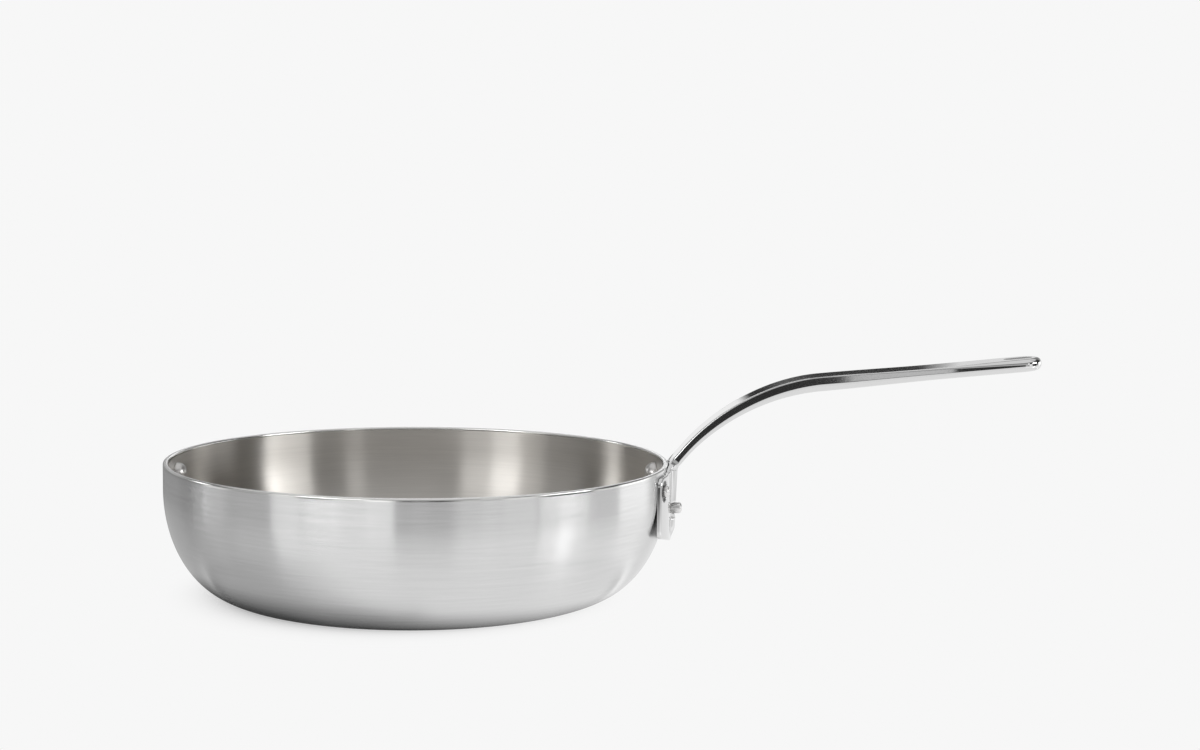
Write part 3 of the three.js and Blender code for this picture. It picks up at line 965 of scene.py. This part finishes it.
def studio_world():
    """The room that the metal mirrors, dim with even light banks. The camera sees a pale backdrop."""
    world = bpy.data.worlds.new("studio")
    bpy.context.scene.world = world
    world.use_nodes = True
    world.cycles_visibility.diffuse = False
    nodes = Nodes(world.node_tree)
    way = nodes.add("ShaderNodeTexCoord").outputs["Generated"]
    turn = {"Vector": way, "Angle": -VIEW_TURN}
    turned_way = nodes.add("ShaderNodeVectorRotate", turn, rotation_type="Z_AXIS").outputs[0]
    split = nodes.add("ShaderNodeSeparateXYZ", {0: turned_way}).outputs
    azimuth = nodes.math("ARCTAN2", split[0], nodes.math("MULTIPLY", split[1], -1.0))
    elevation = nodes.math("ARCSINE", split[2])

    def between(angle, low, high, soft):
        middle, half, edge = (math.radians(a) for a in ((low + high) / 2, (high - low) / 2, soft / 2))
        off = nodes.math("WRAP", nodes.math("SUBTRACT", angle, middle), math.pi, -math.pi)
        return nodes.ramp(nodes.math("ABSOLUTE", off), half + edge, half - edge, 0.0, 1.0)

    columns = list(COLUMNS[0][-1])
    for (*_, before), (_, edge, blur, after) in zip(COLUMNS, COLUMNS[1:]):
        past = nodes.ramp(azimuth, math.radians(edge - blur / 2), math.radians(edge + blur / 2), 0.0, 1.0)
        for i, (old, new) in enumerate(zip(before, after)):
            columns[i] = nodes.math("MULTIPLY_ADD", past, new - old, columns[i])
    level = ROOM_LEVEL
    for column, (low, high, blur) in zip(columns, HEIGHTS):
        level = nodes.math("MULTIPLY_ADD", between(elevation, low, high, blur), column, level)
    for _, left, right, low, high, bright, side_blur, end_blur in BANKS:
        across = between(azimuth, left, right, side_blur)
        inside = nodes.math("MULTIPLY", across, between(elevation, low, high, end_blur))
        level = nodes.math("MULTIPLY_ADD", inside, bright, level)
    ray = nodes.add("ShaderNodeLightPath").outputs["Is Camera Ray"]
    seen = nodes.add("ShaderNodeMix", {"Factor": ray, "A": level, "B": BACKDROP}, data_type="FLOAT")
    nodes.feed(seen.outputs[0], world.node_tree.nodes["Background"].inputs["Color"])


def studio_lamp():
    """A broad lamp high on the right, for the floor alone: the metal mirrors the light banks instead."""
    lamp = bpy.data.lights.new("key_lamp", "SUN")
    lamp.angle = KEY_SPREAD
    lamp.energy = KEY_LEVEL * math.pi / (FLOOR_ALBEDO * math.sin(KEY_ELEVATION))
    key = bpy.data.objects.new("key_lamp", lamp)
    bpy.context.scene.collection.objects.link(key)
    key.visible_glossy = False
    azimuth = KEY_AZIMUTH - QUARTER + VIEW_TURN
    flat = math.cos(KEY_ELEVATION)
    toward = Vector((flat * math.cos(azimuth), flat * math.sin(azimuth), math.sin(KEY_ELEVATION)))
    key.rotation_mode = "QUATERNION"
    key.rotation_quaternion = toward.to_track_quat("Z", "Y")


def studio_floor():
    """A pale paper floor of the backdrop's level. In the metal only its patch of painted shade under the
    pan shows, a dim glow that stands in for the shade there.
    """
    points = [(0.0, 0.0, -FLOOR_SINK)]
    for k in range(FLOOR_SIDES):
        turn = 2 * math.pi * k / FLOOR_SIDES
        points.append((FLOOR_RADIUS * math.cos(turn), FLOOR_RADIUS * math.sin(turn), -FLOOR_SINK))
    faces = [(0, 1 + k, 1 + (k + 1) % FLOOR_SIDES) for k in range(FLOOR_SIDES)]
    floor = new_piece("studio_floor", points, faces)
    material, nodes, paper = new_material("floor_paper")
    place = nodes.place()
    grain = nodes.math("SUBTRACT", nodes.noise(place, GRAINS_PER_METRE, GRAIN_DETAIL), NOISE_MIDDLE)
    middle = (SHADE_SHIFT * MM * math.cos(VIEW_TURN), SHADE_SHIFT * MM * math.sin(VIEW_TURN), 0.0)
    reach = nodes.add("ShaderNodeVectorMath", {0: place, 1: middle}, operation="DISTANCE").outputs["Value"]
    near = nodes.math("POWER", nodes.ramp(reach, SHADE_FULL * MM, SHADE_END * MM, 1.0, 0.0), SHADE_FALL)
    albedo = nodes.math("MULTIPLY_ADD", grain, GRAIN_DEPTH, FLOOR_ALBEDO)
    nodes.feed(nodes.math("MULTIPLY", albedo, near), paper["Base Color"])
    nodes.feed(nodes.math("MULTIPLY_ADD", near, -KEY_LEVEL, BACKDROP), paper["Emission Color"])
    paper["Emission Strength"].default_value = 1.0
    paper["Roughness"].default_value = 1.0
    paper["Specular IOR Level"].default_value = 0.0
    # Painted shade for mirrored rays: a dim glow near the base that fades to clear further out
    painted_shade_inside, painted_shade_outside = ((BASE_RADIUS + margin) * MM for margin in (PAINTED_SHADE_MARGIN, PAINTED_SHADE_FADE))
    clear = nodes.ramp(reach, painted_shade_inside, painted_shade_outside, 0.0, 1.0)
    under_pan_shade = nodes.add("ShaderNodeEmission", {"Strength": UNDER_PAN_PAINTED_SHADE}).outputs[0]
    through = nodes.add("ShaderNodeBsdfTransparent").outputs[0]
    mirrored = nodes.add("ShaderNodeMixShader", {0: clear, 1: under_pan_shade, 2: through}).outputs[0]
    ray = nodes.add("ShaderNodeLightPath").outputs["Is Camera Ray"]
    whole = nodes.tree.nodes["Principled BSDF"].outputs[0]
    seen = nodes.add("ShaderNodeMixShader", {0: ray, 1: mirrored, 2: whole}).outputs[0]
    nodes.feed(seen, nodes.tree.nodes["Material Output"].inputs["Surface"])
    floor.data.materials.append(material)


def studio_camera():
    lens = bpy.data.cameras.new("photo_camera")
    lens.sensor_width = SENSOR_WIDTH
    lens.lens = FOCAL_PIXELS / FRAME_WIDTH * SENSOR_WIDTH
    lens.clip_start = NEAR_CLIP
    camera = bpy.data.objects.new("photo_camera", lens)
    bpy.context.scene.collection.objects.link(camera)
    yaw, pitch = VIEW_YAW, VIEW_PITCH
    ahead = Vector((math.sin(yaw) * math.cos(pitch), math.cos(yaw) * math.cos(pitch), -math.sin(pitch)))
    level = Vector((math.cos(yaw), -math.sin(yaw), 0))
    upright = level.cross(ahead)
    right = level * math.cos(VIEW_ROLL) + upright * math.sin(VIEW_ROLL)
    up = upright * math.cos(VIEW_ROLL) - level * math.sin(VIEW_ROLL)
    pose = Matrix((right, up, -ahead)).transposed().to_4x4()
    pose.translation = Vector((0, -VIEW_DISTANCE, VIEW_HEIGHT)) * MM
    camera.matrix_world = Matrix.Rotation(VIEW_TURN, 4, "Z") @ pose
    bpy.context.scene.camera = camera


bpy.context.scene.view_settings.view_transform = "Standard"
studio_camera()
studio_world()
studio_lamp()
studio_floor()
make_pan()
